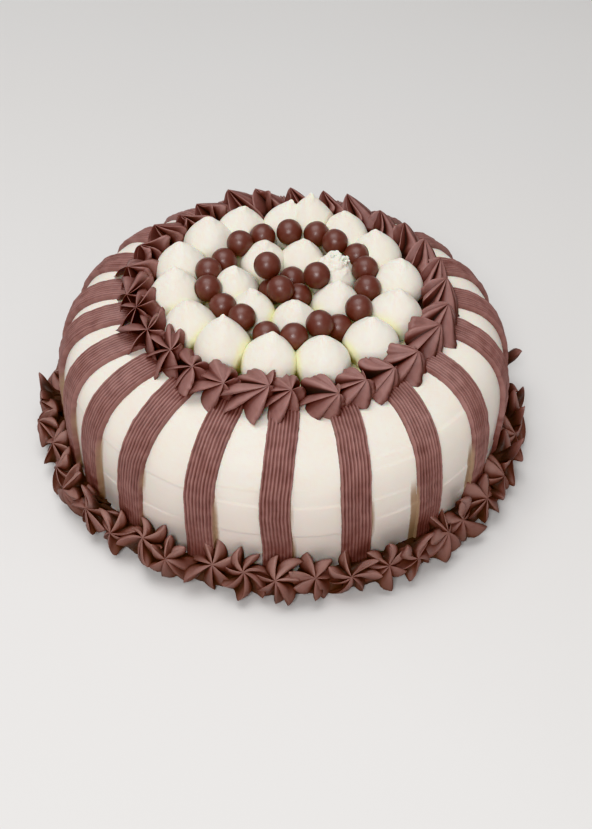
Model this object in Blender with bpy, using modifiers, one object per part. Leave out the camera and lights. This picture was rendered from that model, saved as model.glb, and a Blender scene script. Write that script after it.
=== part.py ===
"""Chocolate dome cake: an ivory cream dome with chocolate icing stripes, a border of piped icing stars
at its foot and another round its top, two rings of cream kisses, and chocolate-coated balls.

Metres, +Z up. The origin is under the middle of the cake, and its front faces -Y.
"""

import math
import random

import bmesh
import bpy
from mathutils import Matrix, Vector

CAKE = "chocolate_dome_cake"
GAP = 0.0003  # between pieces that touch
DOWN = Vector((0, 0, -1))

# The cream dome: a straight wall that a superellipse rounds over into a flat top.
WALL_RADIUS = 0.1083
WALL_HEIGHT = 0.027
CREAM_HEIGHT = 0.077
PLATEAU_RADIUS = 0.060
SHOULDER_POWER = 3.1
SHOULDER_ANGLES = (90, 72, 56, 38, 19, 0)
FOOT_RADIUS = 0.1098  # a lip of cream behind the bottom border
FOOT_HEIGHT = 0.008
FOOT_SLOPE = 0.004
DOME_STEPS = 35

# The icing stripes: a flat band each, from the foot up under the top border.
STRIPE_WIDTH = 0.0137
STRIPE_FACE_SHARE = 0.9  # the rest of the width is its two sloping edges
STRIPE_PROUD = 0.0027
STRIPE_SUNK = 0.0015
STRIPE_LOW = 0.003
STRIPE_ANGLES = (0, 19, 38, 56, 68)
STRIPE_MIDDLE_ANGLE = 19
STRIPE_END_ANGLE = 73.5
# Each stripe's azimuths under the top border, in its middle and behind the bottom border, in degrees.
STRIPE_PATHS = (
    (-169, -171, -171), (-154, -155.5, -155), (-140, -141.7, -142.2), (-124.7, -126.6, -127.2),
    (-107.1, -108, -107.4), (-88.9, -90.2, -89.2), (-70, -71.5, -70.8), (-49.8, -52, -51.5),
    (-30.2, -32.6, -33), (-10.3, -13, -15), (6.3, 4, 3), (24, 22, 20), (41, 40, 38), (59, 58, 57),
    (76, 75, 75), (93, 93, 93), (110, 110, 110), (127, 127, 128), (144, 144, 145), (162, 161, 161),
    (177.5, 177, 176.5),
)  # fmt: skip

# The piped stars of both borders: rings of (height, ridge, groove) as shares of the star's radius.
PETALS = 6
STAR_SPREAD = (0.97, 1.03)  # of the radius

TOP_STARS = 29
TOP_STAR_RADIUS = 0.0098
TOP_STAR_RINGS = ((-0.35, 1.0, 0.92), (0.60, 0.86, 0.44))
TOP_STAR_TIP = 1.20
TOP_RING_RADIUS = 0.0695
TOP_RING_HEIGHT = 0.0786
TOP_STAR_ELEVATION = 72
TOP_STAR_LEAN = 0.30
TOP_STAR_SHIFT = 0.8  # degrees to either side
TOP_FIRST_AZIMUTH = -147.2
TOP_BORDER_BACK = 0.0652  # the cream kisses stand inside it

BASE_STARS = 46
BASE_STAR_RADIUS = 0.0113
BASE_STAR_RINGS = ((-0.66, 0.94, 0.92), (0.0, 1.0, 0.52))
BASE_STAR_TIP = 0.32
BASE_RING_RADIUS = 0.117
BASE_RING_HEIGHT = 0.012
BASE_STAR_ELEVATION = 33
BASE_STAR_LEAN = 0.10
BASE_STAR_SHIFT = 0.5
BASE_FIRST_AZIMUTH = -88.9
BASE_BORDER_BACK = 0.11135  # just outside the stripes
BASE_BORDER_REACH = 0.1242  # of every star's longest petal

# The cream kisses: rings of (height, radius) as shares of the kiss's height and radius.
KISS_RINGS = ((0.0, 0.88), (0.26, 1.0), (0.56, 0.87), (0.80, 0.50))
KISS_SIDES = 8
KISS_SPREAD = (0.96, 1.04)  # of the height
KISS_LEAN = 0.0015
OUTER_RING_RADIUS = 0.0522
OUTER_KISS_RADIUS = 0.0123
OUTER_KISS_HEIGHT = 0.0215
OUTER_KISS_AZIMUTHS = (79, 60, 36, 9, -17, -42, -71, -97, -121, -144, -170, 166, 139, 118, 92)
TALL_KISSES = {0: 0.0275, 8: 0.0255}  # the squeezed one at the back and the one with a flicked tip
INNER_RING_RADIUS = 0.0245
INNER_KISS_RADIUS = 0.0110
INNER_KISS_HEIGHT = 0.0195
INNER_KISS_AZIMUTHS = (76, 30, -22, -79, -130, -177, 120)

# The chocolate-coated balls: (radius, azimuth, height) of each middle.
BALL_RADIUS = 0.00635
RING_BALLS = (  # in the groove between the two rings of kisses
    (0.0375, 175, 0.0901), (0.0376, -165, 0.0899), (0.0356, -144, 0.0885), (0.0367, -122, 0.0910),
    (0.0386, -102, 0.0869), (0.0411, -84, 0.0896), (0.0378, -66, 0.0921), (0.0368, -49, 0.0849),
    (0.0389, -32, 0.0910), (0.0374, -3, 0.0882), (0.0377, 16, 0.0898), (0.0400, 36, 0.0877),
    (0.0370, 54, 0.0908), (0.0411, 72, 0.0885), (0.0377, 91, 0.0900), (0.0381, 111, 0.0880),
    (0.0354, 133, 0.0903), (0.0345, 154, 0.0872),
)  # fmt: skip
HEAP_BALLS = (  # three on the cream in the middle, and three on top of them
    (0.0076, 75, 0.0840), (0.0076, -45, 0.0840), (0.0076, -165, 0.0840),
    (0.0098, 174, 0.0965), (0.0136, -7, 0.0940), (0.0116, -105, 0.0925),
)  # fmt: skip


def polar(radius, azimuth, height):
    turn = math.radians(azimuth)
    return Vector((radius * math.cos(turn), radius * math.sin(turn), height))


def clear_scene():
    for obj in list(bpy.data.objects):
        bpy.data.objects.remove(obj)


def collection(name):
    made = bpy.data.collections.new(name)
    bpy.context.scene.collection.children.link(made)
    return made


def principled(name, colour, roughness):
    material = bpy.data.materials.new(name)
    material.use_nodes = True
    shader = material.node_tree.nodes["Principled BSDF"]
    shader.inputs["Base Color"].default_value = (*colour, 1.0)
    shader.inputs["Roughness"].default_value = roughness
    shader.inputs["Metallic"].default_value = 0.0
    material.diffuse_color = (*colour, 1.0)
    return material


def add_object(name, shape, material, where):
    """Turns a finished bmesh into an object of the collection."""
    mesh = bpy.data.meshes.new(name)
    bmesh.ops.recalc_face_normals(shape, faces=shape.faces)
    shape.to_mesh(mesh)
    shape.free()
    mesh.materials.append(material)
    obj = bpy.data.objects.new(name, mesh)
    where.objects.link(obj)
    return obj


def loft(rings, tip=None):
    """Skins a stack of closed rings, each with as many points, and closes it with a tip or a flat top."""
    shape = bmesh.new()
    loops = [[shape.verts.new(point) for point in ring] for ring in rings]
    for low, high in zip(loops, loops[1:]):
        for a, b, c, d in zip(low, low[1:] + low[:1], high[1:] + high[:1], high):
            shape.faces.new((a, b, c, d))
    shape.faces.new(loops[0][::-1])
    if tip is None:
        shape.faces.new(loops[-1])
    else:
        top = shape.verts.new(tip)
        for a, b in zip(loops[-1], loops[-1][1:] + loops[-1][:1]):
            shape.faces.new((a, b, top))
    bmesh.ops.triangulate(shape, faces=shape.faces)
    return shape


def clip(shape, point, away):
    """Cuts off what lies past a plane, and closes the cut."""
    cut = bmesh.ops.bisect_plane(
        shape, geom=shape.verts[:] + shape.edges[:] + shape.faces[:],
        plane_co=point, plane_no=away, clear_outer=True,
    )  # fmt: skip
    rim = [piece for piece in cut["geom_cut"] if isinstance(piece, bmesh.types.BMEdge)]
    bmesh.ops.holes_fill(shape, edges=rim)


def keep_largest_shell(shape):
    """Drops loose scraps and the walls of sealed hollows that a Boolean has left."""
    unseen = set(shape.faces)
    shells = []
    while unseen:
        shell = set()
        front = {unseen.pop()}
        while front:
            shell |= front
            rims = {rim for seen in front for rim in seen.edges if rim.is_manifold}
            front = {face for rim in rims for face in rim.link_faces} - shell
        unseen -= shell
        shells.append(shell)
    largest = max(shells, key=len)
    scraps = [face for face in shape.faces if face not in largest]
    bmesh.ops.delete(shape, geom=scraps, context="FACES")


def apply_boolean(obj, operation, tools):
    """Applies one Boolean with a whole collection, and removes that collection and its objects."""
    modifier = obj.modifiers.new(operation.title(), "BOOLEAN")
    modifier.operation = operation
    modifier.solver = "EXACT"
    modifier.operand_type = "COLLECTION"
    modifier.collection = tools
    bpy.context.view_layer.update()
    evaluated = obj.evaluated_get(bpy.context.evaluated_depsgraph_get())
    mesh = bpy.data.meshes.new_from_object(evaluated)
    obj.modifiers.clear()
    shape = bmesh.new()
    shape.from_mesh(mesh)
    keep_largest_shell(shape)
    shape.to_mesh(mesh)
    shape.free()
    obj.data = mesh
    for tool in list(tools.objects):
        bpy.data.objects.remove(tool)
    bpy.data.collections.remove(tools)


def shoulder(angle):
    """Radius and height of the cream, for an angle from 0 at the wall to 90 at the flat top."""
    turn = math.radians(angle)
    bend = 2 / SHOULDER_POWER
    radius = PLATEAU_RADIUS + (WALL_RADIUS - PLATEAU_RADIUS) * abs(math.cos(turn)) ** bend
    height = WALL_HEIGHT + (CREAM_HEIGHT - WALL_HEIGHT) * math.sin(turn) ** bend
    return radius, height


def make_dome(material, where):
    """The cream as a profile turned about the cake's axis, from the middle of the top down to the floor."""
    profile = [(0.0, CREAM_HEIGHT)]
    profile += [shoulder(angle) for angle in SHOULDER_ANGLES]
    profile += [(WALL_RADIUS, FOOT_HEIGHT + FOOT_SLOPE), (FOOT_RADIUS, FOOT_HEIGHT), (FOOT_RADIUS, 0.0)]
    profile.append((0.0, 0.0))
    shape = bmesh.new()
    points = [shape.verts.new((radius, 0.0, height)) for radius, height in profile]
    for a, b in zip(points, points[1:]):
        shape.edges.new((a, b))
    dome = add_object("cake_body", shape, material, where)
    turn = dome.modifiers.new("Turn", "SCREW")
    turn.steps = DOME_STEPS
    turn.render_steps = DOME_STEPS
    turn.use_merge_vertices = True
    turn.merge_threshold = 0.00001
    return dome


def stripe_stations():
    """Radius, height, outward direction and thickness along a stripe, from its foot to its end."""
    stations = [(WALL_RADIUS, STRIPE_LOW, Vector((1, 0, 0)), STRIPE_PROUD)]
    for angle in STRIPE_ANGLES + (STRIPE_END_ANGLE,):
        radius, height = shoulder(angle)
        low, high = shoulder(max(angle - 1, 0)), shoulder(angle + 1)
        outward = Vector((high[1] - low[1], 0, low[0] - high[0])).normalized()
        proud = STRIPE_PROUD if angle < STRIPE_END_ANGLE else -GAP
        stations.append((radius, height, outward, proud))
    return stations


def stripe_azimuth(path, angle):
    top, middle, foot = path
    if angle < STRIPE_MIDDLE_ANGLE:
        return foot + (middle - foot) * angle / STRIPE_MIDDLE_ANGLE
    share = (angle - STRIPE_MIDDLE_ANGLE) / (STRIPE_END_ANGLE - STRIPE_MIDDLE_ANGLE)
    return middle + (top - middle) * share


def make_stripe(path, material, where):
    half = STRIPE_WIDTH / 2
    face = half * STRIPE_FACE_SHARE
    angles = (0,) + STRIPE_ANGLES + (STRIPE_END_ANGLE,)
    rings = []
    for angle, (radius, height, outward, proud) in zip(angles, stripe_stations()):
        azimuth = stripe_azimuth(path, angle)
        ring = []
        for across, rise in ((-half, -STRIPE_SUNK), (-face, proud), (face, proud), (half, -STRIPE_SUNK)):
            point = Vector((radius, 0, height)) + outward * rise
            turn = math.radians(azimuth) + across / radius
            ring.append(Matrix.Rotation(turn, 3, "Z") @ point)
        rings.append(ring)
    add_object("stripe", loft(rings), material, where)


def make_body(cream, icing, where):
    body = make_dome(cream, where)
    stripes = collection("stripes")
    for path in STRIPE_PATHS:
        make_stripe(path, icing, stripes)
    apply_boolean(body, "UNION", stripes)


def star(radius, ring_shares, tip_share, spin, lean):
    """A piped star round its own axis: ridges and grooves in turn, drawn in to a leaning tip."""
    rings = []
    for height_share, ridge, groove in ring_shares:
        drawn = max(height_share / tip_share, 0) ** 2
        ring = []
        for corner in range(2 * PETALS):
            turn = spin + math.pi * corner / PETALS
            reach = radius * (groove if corner % 2 else ridge)
            point = Vector((reach * math.cos(turn), reach * math.sin(turn), radius * height_share))
            ring.append(point + lean * drawn)
        rings.append(ring)
    return loft(rings, Vector((0, 0, radius * tip_share)) + lean)


def star_frame(azimuth, ring_radius, ring_height, elevation):
    """Puts a star's foot on its ring, with its axis leaning outwards."""
    place = Matrix.Translation(polar(ring_radius, azimuth, ring_height))
    turn = Matrix.Rotation(math.radians(azimuth), 4, "Z")
    return place @ turn @ Matrix.Rotation(math.radians(90 - elevation), 4, "Y")


def fuse_stars(name, stars, material, where):
    """Joins the stars of a border, which overlap their neighbours all round, into one piece."""
    first, *others = stars
    border = add_object(name, first, material, where)
    rest = collection("stars")
    for shape in others:
        add_object("star", shape, material, rest)
    apply_boolean(border, "UNION", rest)


def make_top_border(material, where):
    """Stars that stand on the rim of the flat top, tilted outwards, each drawn round towards the next."""
    draw = random.Random(7)
    stars = []
    for index in range(TOP_STARS):
        shift = draw.uniform(-TOP_STAR_SHIFT, TOP_STAR_SHIFT)
        azimuth = TOP_FIRST_AZIMUTH + 360 * index / TOP_STARS + shift
        radius = TOP_STAR_RADIUS * draw.uniform(*STAR_SPREAD)
        lean = Vector((0, TOP_STAR_LEAN * radius, 0))
        shape = star(radius, TOP_STAR_RINGS, TOP_STAR_TIP, draw.uniform(0, math.tau / PETALS), lean)
        shape.transform(star_frame(azimuth, TOP_RING_RADIUS, TOP_RING_HEIGHT, TOP_STAR_ELEVATION))
        clip(shape, polar(TOP_BORDER_BACK, azimuth, 0), polar(-1, azimuth, 0))
        clip(shape, Vector((0, 0, CREAM_HEIGHT + GAP)), DOWN)
        stars.append(shape)
    fuse_stars("top_border", stars, material, where)


def make_base_border(material, where):
    """Stars pressed against the foot of the wall, facing outwards and a little up."""
    draw = random.Random(11)
    stars = []
    for index in range(BASE_STARS):
        shift = draw.uniform(-BASE_STAR_SHIFT, BASE_STAR_SHIFT)
        azimuth = BASE_FIRST_AZIMUTH + 360 * index / BASE_STARS + shift
        radius = BASE_STAR_RADIUS * draw.uniform(*STAR_SPREAD)
        lean = Vector((-BASE_STAR_LEAN * radius, 0, 0))
        shape = star(radius, BASE_STAR_RINGS, BASE_STAR_TIP, draw.uniform(0, math.tau / PETALS), lean)
        shape.transform(star_frame(azimuth, BASE_RING_RADIUS, BASE_RING_HEIGHT, BASE_STAR_ELEVATION))
        reach = max(point.co.xy.length for point in shape.verts)
        shape.transform(Matrix.Translation(polar(BASE_BORDER_REACH - reach, azimuth, 0)))
        clip(shape, polar(BASE_BORDER_BACK, azimuth, 0), polar(-1, azimuth, 0))
        clip(shape, Vector(), DOWN)
        stars.append(shape)
    fuse_stars("base_border", stars, material, where)


def kiss(radius, height, lean, centre, neighbours):
    """A piped kiss on its own foot, flattened halfway to each neighbour that it presses against."""
    rings = []
    for height_share, radius_share in KISS_RINGS:
        middle = lean * height_share**2 + Vector((0, 0, height * height_share))
        reach = radius * radius_share
        rings.append([middle + polar(reach, 360 * side / KISS_SIDES, 0) for side in range(KISS_SIDES)])
    shape = loft(rings, lean + Vector((0, 0, height)))
    for neighbour in neighbours:
        away = (neighbour - centre).xy.to_3d()
        clip(shape, away / 2 - away.normalized() * GAP / 2, away)
    return shape


def kiss_ring(name, azimuths, ring_radius, radius, heights, draw, material, where):
    centres = [polar(ring_radius, azimuth, CREAM_HEIGHT + GAP) for azimuth in azimuths]
    made = []
    for index, centre in enumerate(centres):
        lean = polar(draw.uniform(0, KISS_LEAN), draw.uniform(0, 360), 0)
        neighbours = (centres[index - 1], centres[(index + 1) % len(centres)])
        shape = kiss(radius, heights[index], lean, centre, neighbours)
        obj = add_object(f"{name}_{index + 1:02d}", shape, material, where)
        obj.location = centre
        made.append(obj)
    return made


def make_kisses(material, where):
    draw = random.Random(3)
    outer = [OUTER_KISS_HEIGHT * draw.uniform(*KISS_SPREAD) for _ in OUTER_KISS_AZIMUTHS]
    for index, height in TALL_KISSES.items():
        outer[index] = height
    inner = [INNER_KISS_HEIGHT * draw.uniform(*KISS_SPREAD) for _ in INNER_KISS_AZIMUTHS]
    return kiss_ring(
        "outer_kiss", OUTER_KISS_AZIMUTHS, OUTER_RING_RADIUS, OUTER_KISS_RADIUS, outer, draw, material, where
    ) + kiss_ring(
        "inner_kiss", INNER_KISS_AZIMUTHS, INNER_RING_RADIUS, INNER_KISS_RADIUS, inner, draw, material, where
    )


def add_ball(name, place, radius, material, where):
    shape = bmesh.new()
    bmesh.ops.create_icosphere(shape, subdivisions=2, radius=radius)
    ball = add_object(name, shape, material, where)
    ball.location = place


def make_balls(material, where):
    for index, place in enumerate(RING_BALLS + HEAP_BALLS):
        add_ball(f"ball_{index + 1:02d}", polar(*place), BALL_RADIUS, material, where)


def dent_kiss(kiss_object, material):
    """Presses the balls that touch a kiss into its cream."""
    cutters = collection("cutters")
    reach = OUTER_KISS_RADIUS + BALL_RADIUS + GAP
    for place in RING_BALLS + HEAP_BALLS:
        middle = polar(*place)
        if (middle - kiss_object.location).xy.length < reach:
            add_ball("cutter", middle, BALL_RADIUS + GAP, material, cutters)
    if cutters.objects:
        apply_boolean(kiss_object, "DIFFERENCE", cutters)
    else:
        bpy.data.collections.remove(cutters)


def main():
    clear_scene()
    cake = collection(CAKE)
    cream = principled("ivory_cream", (0.83, 0.79, 0.66), 0.45)
    icing = principled("chocolate_icing", (0.21, 0.092, 0.077), 0.55)
    coating = principled("chocolate_coating", (0.115, 0.028, 0.016), 0.3)
    make_body(cream, icing, cake)
    make_top_border(icing, cake)
    make_base_border(icing, cake)
    for kiss_object in make_kisses(cream, cake):
        dent_kiss(kiss_object, cream)
    make_balls(coating, cake)


main()
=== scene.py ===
"""Looks of a chocolate dome cake: cream, ribbed icing stripes, piped stars, kisses and coated balls."""

import bisect
import math
import random

import bmesh
import bpy
from mathutils import Matrix, Vector, noise


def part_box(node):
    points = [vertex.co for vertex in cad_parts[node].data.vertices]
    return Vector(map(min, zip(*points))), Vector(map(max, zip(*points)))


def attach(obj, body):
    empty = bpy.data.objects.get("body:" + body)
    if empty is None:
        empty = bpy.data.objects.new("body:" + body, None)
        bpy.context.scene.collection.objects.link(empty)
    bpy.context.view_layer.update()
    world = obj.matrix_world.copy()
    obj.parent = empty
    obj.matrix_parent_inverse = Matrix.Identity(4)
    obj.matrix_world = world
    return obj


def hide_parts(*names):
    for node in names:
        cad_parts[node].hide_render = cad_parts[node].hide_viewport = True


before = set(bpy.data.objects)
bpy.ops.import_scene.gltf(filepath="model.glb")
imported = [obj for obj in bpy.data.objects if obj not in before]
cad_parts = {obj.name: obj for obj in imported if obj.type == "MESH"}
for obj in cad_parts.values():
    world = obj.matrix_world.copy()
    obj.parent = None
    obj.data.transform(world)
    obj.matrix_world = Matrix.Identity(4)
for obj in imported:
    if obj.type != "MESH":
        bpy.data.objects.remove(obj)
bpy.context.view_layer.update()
MM = 0.001
UNDERSIDE = 0.02 * MM  # the icing at the foot goes no lower than this

# The cream dome: a straight wall that a superellipse rounds over into a flat top.
WALL_RADIUS = 108.3 * MM
WALL_HEIGHT = 27 * MM
CREAM_HEIGHT = 77 * MM
PLATEAU_RADIUS = 60 * MM
SHOULDER_POWER = 3.1
# Its foot is a little wider, behind the bottom border.
FOOT_RADIUS = 109.8 * MM
FOOT_HEIGHT = 8 * MM
FOOT_SLOPE = 4 * MM
DOME_ROWS = 200
DOME_COLUMNS = 280

# The icing stripes, from the foot to a tail under the top border. Angles are the shoulder's.
STRIPE_WIDTH = 13.7 * MM
STRIPE_PROUD = 2.7 * MM
STRIPE_SUNK = 1.2 * MM
STRIPE_LOW = 3 * MM
STRIPE_RIBS = 9
STRIPE_COLUMNS = 66
STRIPE_ROWS = 180
STRIPE_MIDDLE_ANGLE = 19
STRIPE_END_ANGLE = 73.5
STRIPE_TAIL_ANGLES = (79, 84)
# The side of a stripe on which its icing is smeared into the cream (1 is anticlockwise seen from above),
# how wide the smear is beside half a stripe, and which share of that is evenly brown.
STRIPE_SMEARS = {7: (-1, 0.58, 0.65), 8: (-1, 0.50, 0.65)}
USUAL_SMEAR = (1, 0.32, 0.0)
# Each stripe's azimuths under the top border, in its middle and behind the bottom border.
STRIPE_PATHS = (
    (-169, -171, -171), (-154, -155.5, -155), (-140, -141.7, -142.2), (-124.7, -126.6, -127.2),
    (-107.1, -108, -107.4), (-88.9, -90.2, -89.2), (-70, -71.5, -70.8), (-49.8, -52, -51.5),
    (-30.2, -32.6, -33), (-10.3, -13, -15), (6.3, 4, 3), (24, 22, 20), (41, 40, 38), (59, 58, 57),
    (76, 75, 75), (93, 93, 93), (110, 110, 110), (127, 127, 128), (144, 144, 145), (162, 161, 161),
    (177.5, 177, 176.5),
)  # fmt: skip

# The borders of piped stars. An elevation is how far a star's own axis points up.
PETALS = 7
STAR_COLUMNS = 12 * PETALS
STAR_ROWS = 26
SHADE_RING_SIDES = 8
SHADE_RING_COLUMNS = 360
TOP_STARS = 29
TOP_STAR_RADIUS = 9.8 * MM
TOP_RING_RADIUS = 69.5 * MM
TOP_RING_HEIGHT = 78.6 * MM
TOP_STAR_ELEVATION = 72
TOP_FIRST_AZIMUTH = -147.2
BASE_STARS = 46
BASE_STAR_RADIUS = 11.3 * MM
BASE_RING_RADIUS = 117 * MM
BASE_RING_HEIGHT = 12 * MM
BASE_STAR_ELEVATION = 33
BASE_FIRST_AZIMUTH = -88.9
BASE_BORDER_REACH = 124.2 * MM

# The kisses and the balls on the flat top.
OUTER_RING_RADIUS = 52.2 * MM
OUTER_KISS_RADIUS = 12.3 * MM
OUTER_KISS_AZIMUTHS = (79, 60, 36, 9, -17, -42, -71, -97, -121, -144, -170, 166, 139, 118, 92)
INNER_RING_RADIUS = 24.5 * MM
INNER_KISS_RADIUS = 11.0 * MM
INNER_KISS_AZIMUTHS = (76, 30, -22, -79, -130, -177, 120)
TORN_KISS = "inner_kiss_02"
CRUMBS = 16
BALLS = 24

# The camera, fitted to the photograph: it looks at a point of the floor near the cake's middle.
CAMERA_AIM = Vector((6.7, 2.7, 0)) * MM
CAMERA_DISTANCE = 614.74 * MM
CAMERA_ELEVATION = 43.85
CAMERA_ROLL = 2.62
CAMERA_LENS = 51.22
SENSOR_WIDTH = 36

# The lamps of the studio: place in metres, size, power and colour.
LAMPS = {
    "window": (Vector((-0.15, -1.0, 1.0)), 0.40, 9.1, (1, 1, 1)),
    "overhead": (Vector((-0.3, 0.1, 1.6)), 1.4, 17.5, (1, 1, 1)),
    "warm_bounce": (Vector((0.3, -1.5, 0.25)), 1.4, 3, (1.0, 0.80, 0.76)),
}
LAMP_AIM = Vector((0, 0, 0.04))
SKY_COLOUR = (1, 0.99, 0.98, 1)
SKY_STRENGTH = 0.33
FLOOR_SIZE = 3


def polar(radius, azimuth, height):
    """A point at an azimuth in degrees, where -90 is the front and 0 the right."""
    turn = math.radians(azimuth)
    return Vector((radius * math.cos(turn), radius * math.sin(turn), height))


def along(stops, place):
    """A smooth value from (place, value) stops, by a Catmull-Rom curve."""
    places = [stop[0] for stop in stops]
    last = len(stops) - 1
    right = min(max(bisect.bisect_right(places, place), 1), last)
    before, low, high, after = (stops[min(max(right + step, 0), last)] for step in (-2, -1, 0, 1))
    span = high[0] - low[0]
    t = min(max((place - low[0]) / span, 0), 1)
    rise_low = (high[1] - before[1]) / (high[0] - before[0]) * span
    rise_high = (after[1] - low[1]) / (after[0] - low[0]) * span
    return (
        low[1] * (1 + 2 * t) * (1 - t) ** 2 + rise_low * t * (1 - t) ** 2
        + high[1] * (3 - 2 * t) * t**2 - rise_high * t**2 * (1 - t)
    )  # fmt: skip


def ease(low, high, value):
    """0 up to low, 1 from high on, and a soft step in between."""
    t = min(max((value - low) / (high - low), 0), 1)
    return t * t * (3 - 2 * t)


def rough(place, size, seed=0.0):
    """Smooth noise from -1 to 1 that changes over about one size."""
    return noise.noise(place / size + Vector((seed, 3 * seed, 7 * seed)))


# ---------------------------------------------------------------- the cream's own profile


def shoulder(angle):
    """Radius and height of the cream, for an angle from 0 at the wall to 90 at the flat top."""
    turn = math.radians(angle)
    bend = 2 / SHOULDER_POWER
    radius = PLATEAU_RADIUS + (WALL_RADIUS - PLATEAU_RADIUS) * max(math.cos(turn), 0) ** bend
    height = WALL_HEIGHT + (CREAM_HEIGHT - WALL_HEIGHT) * math.sin(turn) ** bend
    return Vector((radius, height))


class Slope:
    """The cream's side as a line that can be walked by distance, from the wall's foot to the flat top."""

    def __init__(self):
        steps = 400
        angles = [90 * step / steps for step in range(steps + 1)]
        self.angles = [0] + angles
        self.points = [Vector((WALL_RADIUS, 0))] + [shoulder(angle) for angle in angles]
        self.distances = [0.0]
        for a, b in zip(self.points, self.points[1:]):
            self.distances.append(self.distances[-1] + (b - a).length)
        self.length = self.distances[-1]

    def at(self, distance):
        """(radius, height), the outward direction in that plane, and the shoulder's angle."""
        distance = min(max(distance, 0), self.length)
        right = min(max(bisect.bisect_right(self.distances, distance), 1), len(self.points) - 1)
        low, high = self.points[right - 1], self.points[right]
        share = (distance - self.distances[right - 1]) / (self.distances[right] - self.distances[right - 1])
        run = (high - low).normalized()
        angle = self.angles[right - 1] + (self.angles[right] - self.angles[right - 1]) * share
        return low.lerp(high, share), Vector((run.y, -run.x)), angle

    def reach(self, angle):
        """The distance at which the shoulder has this angle."""
        return self.distances[bisect.bisect_left(self.angles, angle)]

    def height_at(self, radius):
        """The cream's height at a radius."""
        if radius <= PLATEAU_RADIUS:
            return CREAM_HEIGHT
        share = min((radius - PLATEAU_RADIUS) / (WALL_RADIUS - PLATEAU_RADIUS), 1)
        rise = (1 - share**SHOULDER_POWER) ** (1 / SHOULDER_POWER)
        return WALL_HEIGHT + (CREAM_HEIGHT - WALL_HEIGHT) * rise


slope = Slope()

# ---------------------------------------------------------------- materials


class Field:
    """A number of a shader, on which the usual operators add Math nodes."""

    def __init__(self, paint, socket):
        self.paint = paint
        self.socket = socket

    def math(self, operation, *values):
        return self.paint.field("ShaderNodeMath", {"operation": operation}, *values)

    def __add__(self, other):
        return self.math("ADD", self, other)

    def __sub__(self, other):
        return self.math("SUBTRACT", self, other)

    def __rsub__(self, other):
        return self.math("SUBTRACT", other, self)

    def __mul__(self, other):
        return self.math("MULTIPLY", self, other)

    __radd__ = __add__
    __rmul__ = __mul__

    def between(self, low, high):
        """0 below low, 1 above high, and a soft step in between."""
        settings = {"interpolation_type": "SMOOTHSTEP"}
        return self.paint.field("ShaderNodeMapRange", settings, self, low, high)


class Paint:
    """A material that is painted with nodes."""

    def __init__(self, name, **constants):
        self.material = bpy.data.materials.new(name)
        self.material.use_nodes = True
        self.tree = self.material.node_tree
        self.shader = self.tree.nodes["Principled BSDF"]
        for socket, value in constants.items():
            self.shader.inputs[socket.replace("_", " ")].default_value = value
        self.place = self.node("ShaderNodeTexCoord").outputs["Object"]

    def node(self, kind, settings=None, *values):
        """A new node with its settings, and with values or links for its first sockets."""
        made = self.tree.nodes.new(kind)
        for name, value in (settings or {}).items():
            setattr(made, name, value)
        sockets = [socket for socket in made.inputs if socket.enabled]
        for socket, value in zip(sockets, values):
            self.feed(socket, value)
        return made

    def feed(self, socket, value):
        if isinstance(value, Field):
            value = value.socket
        if isinstance(value, bpy.types.NodeSocket):
            self.tree.links.new(value, socket)
        elif value is not None:
            socket.default_value = value

    def field(self, kind, settings, *values):
        """The first output of a new node."""
        return Field(self, self.node(kind, settings, *values).outputs[0])

    def mark(self, name):
        """A number that was written on the mesh's points."""
        return Field(self, self.node("ShaderNodeAttribute", {"attribute_name": name}).outputs["Fac"])

    def height(self):
        """The height above the floor, in metres."""
        return Field(self, self.node("ShaderNodeSeparateXYZ", None, self.place).outputs["Z"])

    def grain(self, size, detail=3.0, stretch=(1, 1, 1)):
        """Noise from about 0 to 1 with grains of a size in metres, longer where stretch is small."""
        scaled = self.node("ShaderNodeMapping", None, self.place, (0, 0, 0), (0, 0, 0), stretch)
        return self.field("ShaderNodeTexNoise", None, scaled.outputs[0], 1 / size, detail, GRAIN_ROUGHNESS)

    def blend(self, share, first, second):
        """A colour between two colours."""
        mix = self.node("ShaderNodeMix", {"data_type": "RGBA"})
        for name, value in (("Factor", share), ("A", first), ("B", second)):
            socket = next(s for s in mix.inputs if s.enabled and s.name == name)
            self.feed(socket, (*value, 1.0) if isinstance(value, tuple) else value)
        return next(s for s in mix.outputs if s.enabled)

    def finish(self, colour, roughness, heights=()):
        """Feeds the shader. Each height is (field, depth in metres), and they add up."""
        self.feed(self.shader.inputs["Base Color"], colour)
        self.feed(self.shader.inputs["Roughness"], roughness)
        normal = None
        for field, depth in heights:
            bump = self.node("ShaderNodeBump")
            self.feed(bump.inputs["Distance"], depth)
            self.feed(bump.inputs["Height"], field)
            self.feed(bump.inputs["Normal"], normal)
            normal = bump.outputs[0]
        self.feed(self.shader.inputs["Normal"], normal)
        return self.material


GRAIN_ROUGHNESS = 0.55
CREAM_IVORY = (0.83, 0.80, 0.72)
CREAM_SHADE = (0.80, 0.755, 0.665)
# Painted shade and a painted pink reflection for the cream low on the cake.
CREAM_WALL_SHADE = (0.67, 0.59, 0.54)
CREAM_YELLOW = (0.78, 0.76, 0.50)
CREAM_OLIVE = (0.40, 0.35, 0.16)
# A painted highlight for the icing's thin ridges.
ICING_RIDGE_HIGHLIGHT = (0.315, 0.172, 0.156)
ICING_BROWN = (0.165, 0.076, 0.067)
# Painted shade for the icing's grooves and hollows.
ICING_GROOVE_SHADE = (0.034, 0.024, 0.021)
# Painted shade near the floor, darker and warmer than the icing.
ICING_FOOT_SHADE = (0.105, 0.048, 0.030)
# Tan for smeared icing with its painted contact shadow, and for a painted reflection of the cream.
SMEAR_AND_PAINTED_LIGHT_TAN = (0.36, 0.25, 0.17)
BALL_BROWN = (0.124, 0.045, 0.036)
BALL_BLOOM = (0.150, 0.062, 0.050)
FLOOR_GREYS = ((0.66, 0.65, 0.64), (0.70, 0.69, 0.68))


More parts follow.
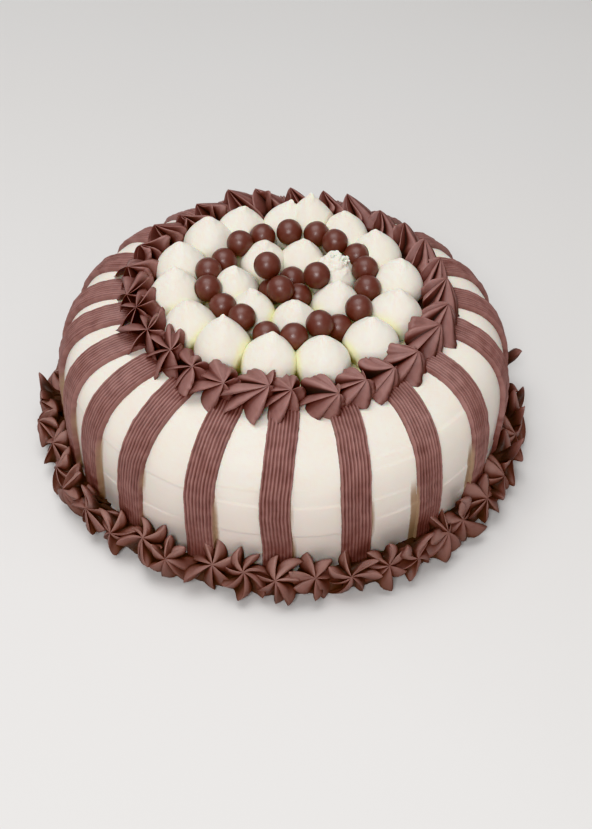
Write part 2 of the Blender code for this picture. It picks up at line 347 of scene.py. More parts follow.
def ivory_cream():
    """Scraped cream, ivory in the open and yellow to olive in its creases."""
    paint = Paint("ivory_cream", Subsurface_Weight=0.25, Subsurface_Scale=0.003, IOR=1.42)
    crease = paint.mark("crease")
    drift = paint.grain(25 * MM, 4).between(0.35, 0.7)
    colour = paint.blend(drift, CREAM_IVORY, CREAM_SHADE)
    # Painted shade and a painted pink reflection towards the foot.
    colour = cream_with_painted_shade(paint, colour)
    patchy = paint.grain(6 * MM) * 0.6 + 0.65
    colour = paint.blend((crease * patchy).between(0.0, 0.75), colour, CREAM_YELLOW)
    colour = paint.blend((crease * patchy).between(0.72, 1.1), colour, CREAM_OLIVE)
    streaks = paint.grain(3 * MM, 3, stretch=(0.10, 0.10, 1.0))
    pores = paint.grain(0.9 * MM, 2)
    sheen = paint.grain(12 * MM, 3) * 0.18 + 0.36
    return paint.finish(colour, sheen, ((streaks, 0.10 * MM), (pores, 0.05 * MM)))


def cream_with_painted_shade(paint, colour):
    """The cream's colour with painted shade and a painted pink reflection, duller and warmer towards the
    cake's foot.
    """
    return paint.blend(1.0 - paint.height().between(5 * MM, 96 * MM), colour, CREAM_WALL_SHADE)


def chocolate_icing(name, foot_shade_share):
    """Icing with painted shade in its grooves and a painted highlight on its ridges. foot_shade_share is
    how much of the painted shade near the floor it takes on.

    The mark smear goes from 0 for icing over tan to 1 for the cream beside it. Its tan stands for a thin
    film of icing with its painted contact shadow beside the stripes, and for a painted reflection of the
    cream on the base border.
    """
    paint = Paint(name, Subsurface_Weight=0.05, Subsurface_Scale=0.002, IOR=1.38)
    ridge = paint.mark("ridge")
    mottle = paint.grain(5 * MM, 4)
    # Painted shade in the grooves and hollows, where the ridge mark is low.
    colour = paint.blend(ridge.between(0.05, 0.55), ICING_GROOVE_SHADE, ICING_BROWN)
    # Painted highlight on the ridges.
    colour = paint.blend((ridge * 1.2 + mottle * 0.6).between(0.75, 1.6), colour, ICING_RIDGE_HIGHLIGHT)
    # Painted shade near the floor: darker and warmer towards the foot.
    low = 1.0 - paint.height().between(0.0, 30 * MM)
    colour = paint.blend(low * foot_shade_share, colour, ICING_FOOT_SHADE)
    smear_and_painted_light = paint.mark("smear_and_painted_light")
    # Tan for smeared icing with its painted contact shadow, and for the painted reflection on the base
    # border.
    colour = paint.blend(smear_and_painted_light.between(0.0, 0.45), colour, SMEAR_AND_PAINTED_LIGHT_TAN)
    # The film fades into the cream, with the cream's painted shade and reflection towards the foot.
    colour = paint.blend(smear_and_painted_light.between(0.5, 0.95), colour, cream_with_painted_shade(paint, CREAM_IVORY))
    fine = paint.grain(0.7 * MM, 3)
    sheen = paint.grain(2.5 * MM, 3) * 0.2 + 0.42
    return paint.finish(colour, sheen, ((fine, 0.08 * MM),))


def chocolate_coating():
    """The dull, slightly dented shell of the balls."""
    paint = Paint("chocolate_coating", Coat_Weight=0.2, Coat_Roughness=0.3, IOR=1.46)
    bloom = paint.grain(4 * MM, 4).between(0.4, 0.75)
    colour = paint.blend(bloom, BALL_BROWN, BALL_BLOOM)
    smudge = paint.grain(2.5 * MM, 3) * 0.22 + 0.28
    dents = paint.grain(3.5 * MM, 2)
    return paint.finish(colour, smudge, ((dents, 0.10 * MM),))


def pale_floor():
    paint = Paint("pale_floor")
    return paint.finish(paint.blend(paint.grain(0.4, 2), *FLOOR_GREYS), 0.6)


cream = ivory_cream()
icing = chocolate_icing("chocolate_icing", foot_shade_share=0.1)
# The base border's copy of the icing takes on more of the painted shade near the floor.
foot_shaded_icing = chocolate_icing("foot_shaded_icing", foot_shade_share=0.70)
coating = chocolate_coating()

# ---------------------------------------------------------------- pieces


def add_piece(name, shape, material, *nodes, slot):
    """Turns a finished bmesh into a smooth piece that rides on the cake and stands for CAD nodes."""
    bmesh.ops.recalc_face_normals(shape, faces=shape.faces)
    for face in shape.faces:
        face.smooth = True
    mesh = bpy.data.meshes.new(name)
    shape.to_mesh(mesh)
    shape.free()
    mesh.materials.append(material)
    piece = bpy.data.objects.new(name, mesh)
    bpy.context.scene.collection.objects.link(piece)
    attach(piece, "root")
    if nodes:
        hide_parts(*nodes)


def mark_layer(shape, name):
    """A number on each point, which a material reads by its name."""
    return shape.verts.layers.float.new(name)


def spin_round(shape, columns):
    """Spins an outline in the XZ plane once round the cake's axis."""
    bmesh.ops.spin(
        shape, geom=shape.verts[:] + shape.edges[:], cent=(0, 0, 0), axis=(0, 0, 1),
        angle=math.tau, steps=columns, use_merge=True,
    )  # fmt: skip


def on_sphere(place):
    """For a point of a unit sphere: its share of the way from pole to pole, and whether it is a pole."""
    return 1 - math.acos(min(max(place.z, -1), 1)) / math.pi, abs(place.z) > 0.9999


# ---- the cream dome

# Ledges that the scraper has left: azimuths from and to, height, tilt, and step.
SCRAPER_MARKS = (
    (-142, -112, 30 * MM, 0.02, 0.35 * MM), (-112, -70, 33 * MM, -0.01, -0.30 * MM),
    (-109, -54, 49.5 * MM, 0.0, 0.38 * MM), (-70, -20, 38 * MM, 0.03, 0.35 * MM),
    (-160, -106, 52 * MM, -0.02, -0.30 * MM), (-45, 10, 26 * MM, -0.02, 0.35 * MM),
    (-73, -22, 66.5 * MM, -0.01, 0.50 * MM), (-112, -80, 56 * MM, 0.02, -0.25 * MM),
    (-76, -48, 62.5 * MM, 0.0, 0.30 * MM), (20, 80, 35 * MM, 0.02, 0.35 * MM),
    (90, 160, 40 * MM, -0.02, 0.35 * MM),
)  # fmt: skip


def scraped(azimuth, height):
    """How far the cream's side stands out where the scraper has left a ledge."""
    rise = 0.0
    fade = 9
    for start, end, ledge, tilt, step in SCRAPER_MARKS:
        across = ease(start, start + fade, azimuth) * (1 - ease(end - fade, end, azimuth))
        if across:
            line = ledge + tilt * (azimuth - start) * MM * 2
            rise += across * step * ease(-0.5 * MM, 0.5 * MM, line - height)
    return rise


def cream_swell(place):
    """How far the scraped cream stands off its even profile, outwards and upwards."""
    side = place.xy.length
    azimuth = math.degrees(math.atan2(place.y, place.x))
    swell = rough(place, 34 * MM) * 0.35 * MM + rough(place, 9 * MM, 2) * 0.08 * MM
    steep = ease(0.2, 0.8, (side - PLATEAU_RADIUS) / (WALL_RADIUS - PLATEAU_RADIUS))
    return steep * (swell + scraped(azimuth, place.z) - 0.15 * MM), (1 - steep) * (swell - 0.2 * MM)


def make_dome():
    shape = bmesh.new()
    crease = mark_layer(shape, "crease")
    rows = [Vector((0, 0, CREAM_HEIGHT))]
    rows += [Vector((radius * MM, 0, CREAM_HEIGHT)) for radius in range(4, 60, 3)]
    for step in range(DOME_ROWS, -1, -1):
        place, _, _ = slope.at(slope.length * step / DOME_ROWS)
        lip = (FOOT_RADIUS - WALL_RADIUS) * (1 - ease(FOOT_HEIGHT, FOOT_HEIGHT + FOOT_SLOPE, place.y))
        rows.append(Vector((place.x + lip, 0, place.y)))
    rows.append(Vector((0, 0, 0)))
    points = [shape.verts.new(row) for row in rows]
    for a, b in zip(points, points[1:]):
        shape.edges.new((a, b))
    spin_round(shape, DOME_COLUMNS)
    bmesh.ops.remove_doubles(shape, verts=shape.verts, dist=0.01 * MM)
    for point in shape.verts:
        side = point.co.xy.length
        if side < 1 * MM or point.co.z < 1 * MM:
            continue
        outwards, upwards = cream_swell(point.co)
        point.co += point.co.xy.to_3d() / side * outwards + Vector((0, 0, upwards))
        point[crease] = 0.55 * (1 - ease(66 * MM, 70 * MM, side))
    add_piece("cream_dome", shape, cream, "cake_body", slot="ivory_cream")


# ---- the icing stripes


def stripe_azimuth(path, distance):
    """A stripe's azimuth at a distance up the cream's side."""
    top, middle, foot = path
    bend, end = slope.reach(STRIPE_MIDDLE_ANGLE), slope.reach(STRIPE_END_ANGLE)
    stops = ((0, foot), (0.5 * bend, foot), (bend, middle), (end, top), (end + 10 * MM, top))
    return along(stops, distance)


def make_stripe(index, path):
    """A band from a flat ribbed nozzle, a little wavy, with ragged edges and a smear on one side, whose tan
    also paints the band's contact shadow on the cream.

    u runs across, from -1 to 1 over the band and on over the smear, and v runs up. film is how much
    icing the smear has at a point, and smeared how strong the smear is at this height.
    """
    draw = random.Random(100 + index)
    seed = draw.uniform(0, 90)
    shape = bmesh.new()
    ridge, smear_and_painted_light = mark_layer(shape, "ridge"), mark_layer(shape, "smear_and_painted_light")
    start, end = STRIPE_LOW, slope.reach(STRIPE_TAIL_ANGLES[1])
    bmesh.ops.create_grid(shape, x_segments=STRIPE_COLUMNS, y_segments=STRIPE_ROWS, size=1)
    half = STRIPE_WIDTH / 2
    hand, beside, even = STRIPE_SMEARS.get(index, USUAL_SMEAR)
    for point in shape.verts:
        u, v = point.co.x * (1 + beside / 2) + beside / 2, (point.co.y + 1) / 2
        distance = start + (end - start) * v
        place, out, angle = slope.at(distance)

        # Where the point is across the band, on its ragged and slightly wandering way up.
        track = Vector((distance, seed, 0))
        drift = rough(track, 20 * MM) * 0.5 * MM + rough(track, 6 * MM, 1) * 0.15 * MM
        nick = rough(Vector((distance, math.copysign(9, u) * MM, seed)), 1.6 * MM, 5)
        ragged = min(abs(u), 1) ** 6 * (nick * 0.45 - 0.9 * max(nick - 0.3, 0)) * MM
        side = hand * (u * half + math.copysign(ragged, u)) + drift
        turn = math.radians(stripe_azimuth(path, distance)) + side / place.x

        # The ribs, which are clearer on the shoulder than on the wall.
        comb = STRIPE_RIBS * (u * 0.985 + 1) / 2
        comb += 0.10 * rough(Vector((distance, u * half, seed)), 8 * MM, 3)
        strength = 0.85 + 0.35 * rough(Vector((math.floor(comb), distance / (30 * MM), seed)), 1, 4)
        rib = abs(math.sin(math.pi * comb)) ** 0.8 * strength
        clear = 0.45 + 0.55 * ease(16 * MM, 46 * MM, distance)
        rib = 0.6 + (rib - 0.6) * clear

        # The smear is on the lower part only, and comes and goes beside the usual stripe.
        smeared = ease(6 * MM, 16 * MM, distance) * (1 - ease(40 * MM, 56 * MM, distance))
        if index not in STRIPE_SMEARS:
            smeared *= ease(-0.7, 0.5, rough(track, 22 * MM, 12))
        film = smeared * (1 - ease(1 + even * beside, 1 + beside, u))

        # How far the icing stands out: its edges and its tail end sink into the cream.
        wave = rough(Vector((distance, u * half * 0.6, seed)), 3.5 * MM, 9)
        height = STRIPE_PROUD * (0.60 + 0.04 * wave) + rib * (1.0 + 0.25 * wave) * MM
        edge = ease(0, 0.08, 1 - abs(u))
        tail = 1 - ease(*STRIPE_TAIL_ANGLES, angle)
        sunk = STRIPE_SUNK - 1.3 * film * MM if u > 0 else STRIPE_SUNK
        rise = (height * edge - (1 - edge) * sunk) * tail - (1 - tail) * 0.2 * MM
        flat = place + out * rise
        if u > 0.9:
            swell = Vector(cream_swell(polar(place.x, math.degrees(turn), place.y)))
            flat += swell * ease(0.9, 1.0, u)
        if u > 1:
            flat += out * ((0.10 - 0.30 * (1 - ease(0.0, 0.2, film))) * MM - rise)
        point.co = Vector((flat.x * math.cos(turn), flat.x * math.sin(turn), flat.y))
        # Painted shade in the grooves between the ribs and a painted highlight on the ribs, through the
        # ridge mark, which is also lower at the band's edges.
        point[ridge] = (0.04 + 0.68 * rib + 0.16 * wave) * ease(0, 0.3, edge) + 0.25
        # The smear mark: icing smeared into the cream, tinted tan with painted contact shadow beside the
        # band.
        point[smear_and_painted_light] = 1 - 0.5 * film**0.6 if u > 1 else 0.5 * ease(0.85, 1.0, u) * smeared
    add_piece(f"icing_stripe_{index + 1:02d}", shape, icing, "cake_body", slot="chocolate_icing")


# ---- the piped stars


class StarShape:
    """The shape of a border's stars. All lengths are shares of a star's radius.

    ridges and grooves are (height, reach) stops. A leaf under 1 makes the petals' outline round, and a
    crest over 1 makes their tops thin. hang lets the outer petals droop, rise bends the inner ones up, and
    stretch draws the outer ones out. A larger face narrows the painted shade in the grooves and leaves more
    of each petal unshaded. Below the height called dark, the icing is painted darker, as painted shade of
    the petals above it.
    """

    def __init__(self, ridges, grooves, leaf, crest, face, hang, rise, stretch, spread, dark):
        self.ridges = ridges
        self.grooves = grooves
        self.leaf = leaf
        self.crest = crest
        self.face = face
        self.hang = hang
        self.rise = rise
        self.stretch = stretch
        self.spread = spread
        self.dark = dark


class Petal:
    """How one petal of a star differs from the others."""

    def __init__(self, draw, spread):
        self.length = draw.uniform(1 - spread, 1 + spread)
        self.fold = draw.uniform(-1.5, 1.5) * spread
        self.lift = draw.uniform(-3, 3) * spread


def star(
    form, radius, spin, lean, twist, fold, draw, place, seed, hollow=0.0, lobes=0.0, long=1.0, peak=0.0
):
    """A piped star round its own axis: a sphere whose points are drawn to thin ridges and deep grooves.

    fold lays the petals over to one side, long draws the first petal out, and peak draws up the tip.
    hollow makes the grooves deeper, widens the painted shade in them and bends the inner petals up. lobes
    makes the inner petals broad and fills the groove that points straight inwards.
    """
    petals = [Petal(draw, form.spread) for _ in range(PETALS)]
    petals[0].length *= long
    shape = bmesh.new()
    ridge_mark = mark_layer(shape, "ridge")
    mark_layer(shape, "smear_and_painted_light")
    bmesh.ops.create_uvsphere(shape, u_segments=STAR_COLUMNS, v_segments=STAR_ROWS, radius=1)
    low, high = form.ridges[0][0], form.ridges[-1][0]
    for point in shape.verts:
        share, pole = on_sphere(point.co)
        level = low + (high - low) * share

        # Which petal the point belongs to, and how far off the petal's crest it is (-1 to 1).
        sector = math.atan2(point.co.y, point.co.x) * PETALS / math.tau
        index = round(sector)
        petal = petals[index % PETALS]
        off = 2 * (sector - index)
        off = math.copysign(abs(off) ** 1.25, off)

        # How much of the petal's full reach is left beside its crest.
        away = math.cos(spin + index * math.tau / PETALS)
        lobed = lobes * ease(0.1, 0.8, -away)
        blade = form.leaf + (form.crest - form.leaf) * ease(0, 0.4, level / high)
        blade += (0.6 - blade) * lobed
        arch = max(1 - abs(off) ** (1 + 1.4 * lobed), 0) ** blade
        inward = -math.cos(spin + (index + off / 2) * math.tau / PETALS)
        fan = lobes * ease(0.66, 0.92, inward)
        arch = max(arch, 0.85 * fan)

        # How far the point is from the star's axis, and in which direction.
        ridge, groove = along(form.ridges, level), along(form.grooves, level)
        ridge = max(ridge * petal.length, groove)
        groove *= 1 - 0.5 * hollow * ease(0, 0.25, level)
        reach = groove + (ridge - groove) * arch
        reach *= 1 + 0.04 * rough(Vector((index, off, 3 * level)), 0.5, seed)
        reach = 0 if pole else max(reach, 0)
        laid = (fold + petal.fold) * arch**1.5 * (1 - 0.6 * lobed)
        way = spin + (index + off / 2) * math.tau / PETALS + laid + twist * level
        outer = math.cos(way)
        reach *= 1 + form.stretch * (outer if outer > 0 else 1.5 * outer) * min(reach, 1) ** 2
        reach *= 1 - 0.5 * max(-outer, 0) * ease(-0.05, -0.3, level)

        # How high it is: inner petals rise, outer ones hang, and the tip is drawn up and leans.
        height = level + petal.lift * arch**0.5 * ridge**2
        height += form.rise * (1 + 0.8 * hollow) * max(-outer, 0) ** 1.5 * ridge**2 * arch**0.4
        height -= form.hang * max(outer, 0) ** 1.5 * min(reach, 1.1) ** 2.5
        height += peak * max(level / high, 0) ** 3
        point.co = Vector((reach * math.cos(way), reach * math.sin(way), height)) * radius
        point.co += lean * max(level / high, 0) ** 2

        # Painted shade: the ridge mark is lower in the grooves between the petals and below the height
        # called dark.
        shade = ease(form.dark, form.dark + 0.35, level) * 0.85 + 0.15
        crested = max(1 - abs(off) ** (form.face - 0.45 * hollow), 0.8 * fan)
        point[ridge_mark] = 0.75 if pole else crested * shade * 0.92
    shape.transform(place)
    return shape


def star_frame(azimuth, ring_radius, ring_height, elevation):
    """Where a star stands on its ring, with its own axis turned outwards and up."""
    place = Matrix.Translation(polar(ring_radius, azimuth, ring_height))
    turn = Matrix.Rotation(math.radians(azimuth), 4, "Z")
    return place @ turn @ Matrix.Rotation(math.radians(90 - elevation), 4, "Y")


def tilted(draw, most):
    """A small tilt in any direction."""
    axis = Vector((draw.uniform(-1, 1), draw.uniform(-1, 1), 0)).normalized()
    return Matrix.Rotation(math.radians(draw.uniform(0, most)), 4, axis)


def gather(shapes):
    """Puts several shapes in one, each as its own shell."""
    whole = bmesh.new()
    for name in shapes[0].verts.layers.float.keys():
        mark_layer(whole, name)
    for shape in shapes:
        mesh = bpy.data.meshes.new("part")
        shape.to_mesh(mesh)
        shape.free()
        whole.from_mesh(mesh)
        bpy.data.meshes.remove(mesh)
    return whole


TOP_STAR = StarShape(
    ridges=(
        (-0.35, 0.54), (-0.20, 0.72), (-0.08, 0.97), (0.00, 1.17), (0.12, 1.17), (0.30, 1.11),
        (0.50, 1.00), (0.75, 0.78), (0.95, 0.50), (1.10, 0.22), (1.18, 0.0),
    ),
    grooves=(
        (-0.35, 0.50), (-0.20, 0.48), (-0.08, 0.44), (0.00, 0.40), (0.12, 0.36), (0.30, 0.30),
        (0.50, 0.23), (0.75, 0.17), (0.95, 0.11), (1.10, 0.05), (1.18, 0.0),
    ),
    leaf=1.50, crest=2.1, face=1.2, hang=0.28, rise=0.30, stretch=0.16, spread=0.14, dark=-0.3,
)  # fmt: skip
BASE_STAR = StarShape(
    ridges=(
        (-0.66, 0.68), (-0.40, 0.72), (-0.20, 0.78), (-0.07, 0.90), (0.00, 1.00), (0.10, 0.98),
        (0.22, 0.88), (0.36, 0.70), (0.47, 0.48), (0.54, 0.23), (0.58, 0.0),
    ),
    grooves=(
        (-0.66, 0.62), (-0.40, 0.66), (-0.27, 0.62), (-0.15, 0.46), (-0.05, 0.33), (0.10, 0.23),
        (0.22, 0.16), (0.36, 0.11), (0.47, 0.08), (0.54, 0.04), (0.58, 0.0),
    ),
    leaf=0.42, crest=1.3, face=1.7, hang=0.0, rise=0.50, stretch=-0.04, spread=0.19, dark=-0.18,
)  # fmt: skip

TOP_FOLD = 0.42
BASE_FOLD = 0.50
TOP_TILT = 10
BASE_TILT = 18
# How far the tip of a star of the back may be drawn up.
TOP_PEAKS = (0.06, 0.25, 0.45)
# Stars of the front with one petal that hangs down farther: degrees off straight outwards, and length.
LONG_PETALS = {4: (32, 1.12), 6: (-30, 1.02)}

# Where the tips of the front's stars stand off their places: degrees round the ring, and outwards.
TOP_TIP_SHIFTS = {
    0: (1, 0), 1: (1.5, 0), 2: (1.4, 1 * MM), 3: (0.5, 0), 4: (0, -1 * MM), 5: (-3, 0), 6: (0, 4 * MM),
    7: (-3, 1 * MM), 8: (-2, 2 * MM), 9: (-3, 1 * MM),
}  # fmt: skip


def painted_shade_ring(radius, height, width, thickness):
    """A low, lumpy ring of icing in the dark groove colour, which fills the gaps under a border's stars
    with painted shade.
    """
    shape = bmesh.new()
    # Its ridge mark stays 0, so the whole ring is painted in the groove shade colour.
    mark_layer(shape, "ridge")
    mark_layer(shape, "smear_and_painted_light")
    points = []
    for step in range(SHADE_RING_SIDES):
        turn = math.tau * step / SHADE_RING_SIDES
        points.append(
            shape.verts.new((radius + width * math.cos(turn), 0, height + thickness * math.sin(turn)))
        )
    for index, point in enumerate(points):
        shape.edges.new((points[index - 1], point))
    spin_round(shape, SHADE_RING_COLUMNS)
    for point in shape.verts:
        middle = point.co.xy.to_3d().normalized() * radius + Vector((0, 0, height))
        lump = 1 + 0.30 * rough(point.co, 6 * MM) + 0.15 * rough(point.co, 3 * MM)
        point.co = middle + (point.co - middle) * lump
        point.co.z = max(point.co.z, UNDERSIDE)
    return shape


def make_top_border():
    """The border on the shoulder, whose stars differ along the ring as they do in the photograph.

    Those of the front have inner lobes. Those at the left are larger and hollow, and those right of the
    front smaller and a little hollow, with tips that lean outwards; both stand farther in. Those of the
    back are smaller and hollow, and their tips are drawn up.
    """
    draw, whim = random.Random(7), random.Random(70)
    stars = []
    for index in range(TOP_STARS):
        turned, outward = TOP_TIP_SHIFTS.get(index, (0, 0))
        azimuth = TOP_FIRST_AZIMUTH + 360 * index / TOP_STARS + draw.uniform(-0.8, 0.8) - 4 + turned / 2
        left = ease(-190, -178, azimuth % 360 - 360) * (1 - ease(-148, -132, azimuth % 360 - 360))
        right = ease(-84, -68, azimuth) * (1 - ease(-30, -8, azimuth))
        radius = 1.12 * TOP_STAR_RADIUS * whim.uniform(0.95, 1.06)
        sweep = whim.uniform(0.60, 0.85) * radius + math.radians(turned) * TOP_RING_RADIUS / 2
        lean = Vector((whim.uniform(0, 0.2) * radius + outward / 2 + 1.5 * MM * right, sweep, 0))
        ring_radius = TOP_RING_RADIUS + outward / 2 - 1.5 * MM * max(left, right)
        place = star_frame(azimuth, ring_radius, TOP_RING_HEIGHT, TOP_STAR_ELEVATION)
        place = place @ tilted(whim, TOP_TILT)
        spin, twist = whim.uniform(0, math.tau / PETALS), whim.uniform(-0.1, 0.5)
        front = ease(-0.2, 0.5, -math.sin(math.radians(azimuth)))
        back = ease(0.2, 0.7, math.sin(math.radians(azimuth)))
        radius *= 1 + 0.06 * left - 0.12 * right - 0.12 * back
        aside, long = LONG_PETALS.get(index, (0, 1.0))
        if index in LONG_PETALS:
            spin = math.radians(aside) - TOP_FOLD
        peak = back * whim.choice(TOP_PEAKS)
        shape = star(
            TOP_STAR, radius, spin, lean, twist, TOP_FOLD, whim, place, index,
            hollow=0.85 * max(left, back, 0.5 * right), lobes=front * (1 - left), long=long, peak=peak,
        )  # fmt: skip
        # Petals that hang over the shoulder lie on the cream instead of dipping into it.
        for point in shape.verts:
            side = point.co.xy.length
            floor = slope.height_at(side) + 0.4 * MM
            if point.co.z < floor and side > 64 * MM:
                point.co.z = floor - 0.15 * (floor - point.co.z)
        stars.append(shape)
    stars.append(painted_shade_ring(TOP_RING_RADIUS - 3 * MM, CREAM_HEIGHT, 5 * MM, 3 * MM))
    add_piece("top_star_border", gather(stars), icing, "top_border", slot="chocolate_icing")


def make_base_border():
    """The border round the foot, whose stars are larger at the right and folded to either side."""
    draw, whim = random.Random(11), random.Random(110)
    stars = []
    for index in range(BASE_STARS):
        azimuth = BASE_FIRST_AZIMUTH + 360 * index / BASE_STARS + draw.uniform(-0.5, 0.5)
        right = ease(-72, -52, azimuth) * (1 - ease(-8, 12, azimuth))
        radius = BASE_STAR_RADIUS * whim.uniform(0.98, 1.12) * (1 + 0.12 * right)
        lean = Vector((-0.12, whim.uniform(-0.15, 0.15), 0)) * radius
        place = star_frame(azimuth, BASE_RING_RADIUS, BASE_RING_HEIGHT, BASE_STAR_ELEVATION)
        place = place @ tilted(whim, BASE_TILT)
        spin = whim.uniform(0, math.tau / PETALS)
        fold = whim.choice((-BASE_FOLD, BASE_FOLD))
        twist = whim.uniform(-0.6, 0.6)
        shape = star(BASE_STAR, radius, spin, lean, twist, fold, whim, place, index)
        reach = max(point.co.xy.length for point in shape.verts)
        shape.transform(Matrix.Translation(polar(BASE_BORDER_REACH - reach, azimuth, 0)))
        ridge, smear_and_painted_light = (shape.verts.layers.float[name] for name in ("ridge", "smear_and_painted_light"))
        for point in shape.verts:
            point.co.z = max(point.co.z, UNDERSIDE)
            # Painted reflection: the upper petals by the cream wall are tinted tan through the smear mark,
            # most on their crests, as if lit by light off the cream.
            wall_reflection = ease(BASE_RING_HEIGHT + 1 * MM, BASE_RING_HEIGHT + 8 * MM, point.co.z)
            point[smear_and_painted_light] = 0.10 * wall_reflection * point[ridge]
        stars.append(shape)
    stars.append(painted_shade_ring(BASE_RING_RADIUS - 4.4 * MM, 4.4 * MM, 3.8 * MM, 4.2 * MM))
    add_piece("base_star_border", gather(stars), foot_shaded_icing, "base_border", slot="chocolate_icing")


# ---- the cream kisses

KISS_COLUMNS = 72
KISS_ROWS = 56
# The outlines of a kiss: shares of its height, and of its radius.
POINTED_KISS = (
    (0.0, 0.90), (0.12, 0.98), (0.26, 1.0), (0.40, 0.94), (0.52, 0.82), (0.64, 0.65), (0.74, 0.48),
    (0.83, 0.31), (0.90, 0.19), (0.95, 0.105), (0.985, 0.045), (1.0, 0.0),
)  # fmt: skip
BLUNT_KISS = (
    (0.0, 0.90), (0.12, 0.98), (0.26, 1.0), (0.40, 0.955), (0.52, 0.865), (0.64, 0.735), (0.74, 0.60),
    (0.83, 0.455), (0.90, 0.32), (0.945, 0.20), (0.975, 0.11), (1.0, 0.0),
)  # fmt: skip
# How pointed each kiss is, from 0 for the blunt outline to 1 for the pointed one, or a little over.
OUTER_POINTS = (1.1, 0.8, 0.9, 0.6, 0.55, 0.65, 0.6, 0.5, 0.9, 0.5, 0.4, 0.45, 0.5, 0.85, 0.9)
INNER_POINTS = (0.85, 0.6, 0.5, 0.35, 0.7, 0.5, 0.5)


def ball_middles():
    middles = []
    for index in range(BALLS):
        low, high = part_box(f"ball_{index + 1:02d}")
        middles.append((low + high) / 2)
    return middles


def ball_radius():
    low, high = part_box("ball_01")
    return (high.z - low.z) / 2


ball_size = ball_radius()


def make_kiss(name, centre, radius, pointed, neighbours, balls, seed):
    """A kiss as high as its solid and leaning like it, dented by its neighbours and the balls."""
    low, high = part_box(name)
    height = high.z - low.z
    base = Vector((centre.x, centre.y, low.z))
    tip = max((v.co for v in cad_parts[name].data.vertices), key=lambda co: co.z)
    lean = (tip - base).xy.to_3d()
    draw = random.Random(seed)
    front = 0.25 + 0.75 * ease(20 * MM, -35 * MM, centre.y)
    curl = polar(draw.uniform(0.3, 0.9) * MM, draw.uniform(0, 360), 0)
    shape = bmesh.new()
    crease = mark_layer(shape, "crease")
    bmesh.ops.create_uvsphere(shape, u_segments=KISS_COLUMNS, v_segments=KISS_ROWS, radius=1)
    for point in shape.verts:
        share, pole = on_sphere(point.co)
        level = ease(0, 1, share) * 0.35 + share * 0.65
        turn = math.atan2(point.co.y, point.co.x)
        blunt = along(BLUNT_KISS, level)
        reach = blunt + pointed * (along(POINTED_KISS, level) - blunt)
        reach = 0 if pole else 1.05 * radius * reach
        if level < 0.02:
            reach *= level / 0.02
        way = Vector((math.cos(turn), math.sin(turn), 0))
        spot = way * reach + Vector((0, 0, level * height)) + lean * level**2
        spot += curl * ease(0.86, 1.0, level)
        swell = rough(spot, 9 * MM, seed) * 0.45 * MM + rough(spot, 3 * MM, seed) * 0.10 * MM
        spot += way * swell * ease(0, 0.1, level) * (1 - ease(0.9, 1, level))
        wobble = ease(0.6, 0.95, level) * 0.55 * MM
        spot += Vector((rough(spot, 3 * MM, seed + 5), rough(spot, 3 * MM, seed + 6), 0)) * wobble
        spot += base

        # Its neighbours and the balls dent it. The cream is yellower there and at the kiss's foot.
        tint = front * 0.7 * (1 - ease(0, 0.22, level))
        for neighbour in neighbours:
            aside = (neighbour - centre).xy.to_3d()
            over = (spot - centre).dot(aside.normalized()) - aside.length / 2
            if over > 0.2 * MM and aside.length > 1.3 * radius:
                spot -= aside.normalized() * (over - 0.2 * MM) * 0.9
            tint = max(tint, front * ease(-3.8 * MM, -0.3 * MM, over) * (1.65 - 2.0 * level))
        for ball in balls:
            gap = spot - ball
            limit = ball_size + 0.12 * MM
            if gap.length < limit:
                spot = ball + gap.normalized() * limit
            tint = max(tint, 0.30 * ease(2.5 * MM, 0, gap.length - limit))
        point.co = spot
        point[crease] = tint
    if name == TORN_KISS:
        tear_top(shape, base, height)
    add_piece("cream_" + name, shape, cream, name, slot="ivory_cream")


def tear_top(shape, base, height):
    """Roughens the top that a ball or a finger has pulled at."""
    for point in shape.verts:
        torn = ease(0.5, 0.8, (point.co.z - base.z) / height)
        if torn:
            out = (point.co - base - Vector((0, 0, height * 0.5))).normalized()
            shag = rough(point.co, 2.2 * MM, 4) * 1.1 + rough(point.co, 1.0 * MM, 8) * 0.5
            point.co += out * torn * shag * MM
            point.co.z = min(point.co.z, base.z + height)


def make_crumbs():
    """Loose bits of cream on the torn kiss."""
    low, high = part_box(TORN_KISS)
    draw = random.Random(31)
    crumbs = []
    for _ in range(CRUMBS):
        shape = bmesh.new()
        mark_layer(shape, "crease")
        size = draw.uniform(0.5, 1.1) * MM
        bmesh.ops.create_icosphere(shape, subdivisions=3, radius=size)
        for point in shape.verts:
            point.co *= 1 + 0.5 * rough(point.co, 0.7 * MM, draw.random())
        middle = (low + high) / 2
        place = Vector((middle.x + draw.uniform(-2, 7) * MM, middle.y + draw.uniform(-3, 4) * MM, 0))
        off = (place - middle).xy.length
        place.z = high.z - 1.2 * MM - max(off - 2 * MM, 0) * 0.75
        shape.transform(Matrix.Translation(place))
        crumbs.append(shape)
    add_piece("cream_crumbs", gather(crumbs), cream, slot="ivory_cream")


def make_kisses():
    balls = ball_middles()
    rings = (
        ("outer_kiss", OUTER_KISS_AZIMUTHS, OUTER_POINTS, OUTER_RING_RADIUS, OUTER_KISS_RADIUS),
        ("inner_kiss", INNER_KISS_AZIMUTHS, INNER_POINTS, INNER_RING_RADIUS, INNER_KISS_RADIUS),
    )
    for ring, azimuths, points, ring_radius, radius in rings:
        centres = [polar(ring_radius, azimuth, CREAM_HEIGHT) for azimuth in azimuths]
        for index, centre in enumerate(centres):
            neighbours = (centres[index - 1], centres[(index + 1) % len(centres)])
            near = [ball for ball in balls if (ball - centre).xy.length < radius + 2 * ball_size]
            name, seed = f"{ring}_{index + 1:02d}", 40 + index + len(centres)
            make_kiss(name, centre, radius, points[index], neighbours, near, seed)


# ---- the coated balls


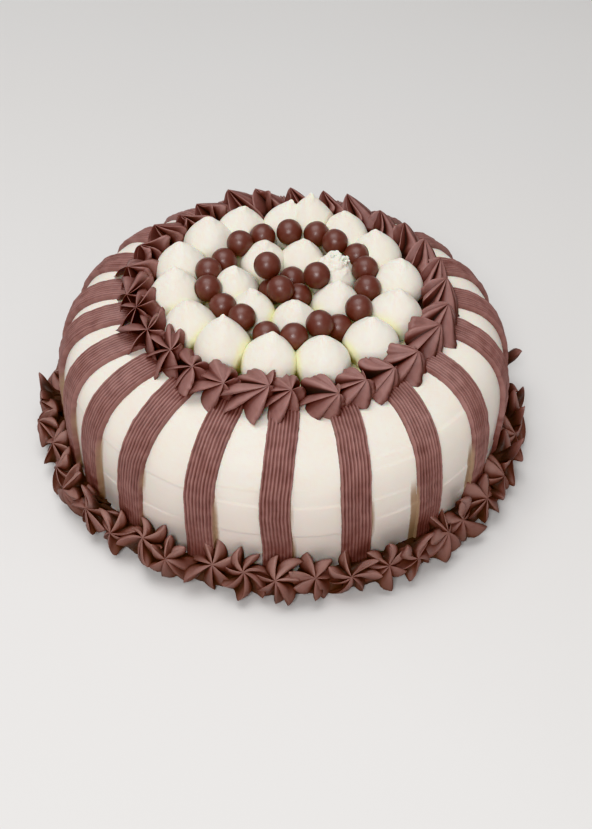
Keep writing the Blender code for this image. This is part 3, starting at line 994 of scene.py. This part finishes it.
def make_balls():
    for index, middle in enumerate(ball_middles()):
        shape = bmesh.new()
        bmesh.ops.create_icosphere(shape, subdivisions=5, radius=ball_size)
        for point in shape.verts:
            swell = 1 + 0.030 * rough(point.co, 9 * MM, index + 1)
            swell += 0.006 * rough(point.co, 2 * MM, index + 1)
            point.co *= swell
        shape.transform(Matrix.Translation(middle))
        name = f"ball_{index + 1:02d}"
        add_piece("coated_" + name, shape, coating, name, slot="chocolate_coating")


# ---------------------------------------------------------------- the studio


def make_floor():
    shape = bmesh.new()
    bmesh.ops.create_grid(shape, x_segments=1, y_segments=1, size=FLOOR_SIZE)
    mesh = bpy.data.meshes.new("floor")
    shape.to_mesh(mesh)
    shape.free()
    mesh.materials.append(pale_floor())
    floor = bpy.data.objects.new("floor", mesh)
    bpy.context.scene.collection.objects.link(floor)


def add_lamp(name, place, size, power, colour):
    lamp = bpy.data.lights.new(name, "AREA")
    lamp.shape = "DISK"
    lamp.size = size
    lamp.energy = power
    lamp.color = colour
    stand = bpy.data.objects.new(name, lamp)
    stand.location = place
    stand.rotation_euler = (LAMP_AIM - place).to_track_quat("-Z", "Y").to_euler()
    bpy.context.scene.collection.objects.link(stand)


def make_studio():
    make_floor()
    for name, (place, size, power, colour) in LAMPS.items():
        add_lamp(name, place, size, power, colour)
    world = bpy.data.worlds.new("studio")
    world.use_nodes = True
    world.node_tree.nodes["Background"].inputs["Color"].default_value = SKY_COLOUR
    world.node_tree.nodes["Background"].inputs["Strength"].default_value = SKY_STRENGTH
    bpy.context.scene.world = world
    bpy.context.scene.view_settings.view_transform = "Khronos PBR Neutral"


def make_camera():
    tilt = math.radians(CAMERA_ELEVATION)
    back = Vector((0, -math.cos(tilt), math.sin(tilt)))
    camera = bpy.data.cameras.new("camera")
    camera.lens = CAMERA_LENS
    camera.sensor_width = SENSOR_WIDTH
    camera.clip_start = 0.01
    view = bpy.data.objects.new("camera", camera)
    place = Matrix.Translation(CAMERA_AIM + back * CAMERA_DISTANCE)
    aimed = place @ Matrix.Rotation(math.radians(90) - tilt, 4, "X")
    view.matrix_world = aimed @ Matrix.Rotation(math.radians(CAMERA_ROLL), 4, "Z")
    bpy.context.scene.collection.objects.link(view)
    bpy.context.scene.camera = view


make_camera()
make_studio()
make_dome()
for number, stripe_path in enumerate(STRIPE_PATHS):
    make_stripe(number, stripe_path)
make_top_border()
make_base_border()
make_kisses()
make_crumbs()
make_balls()
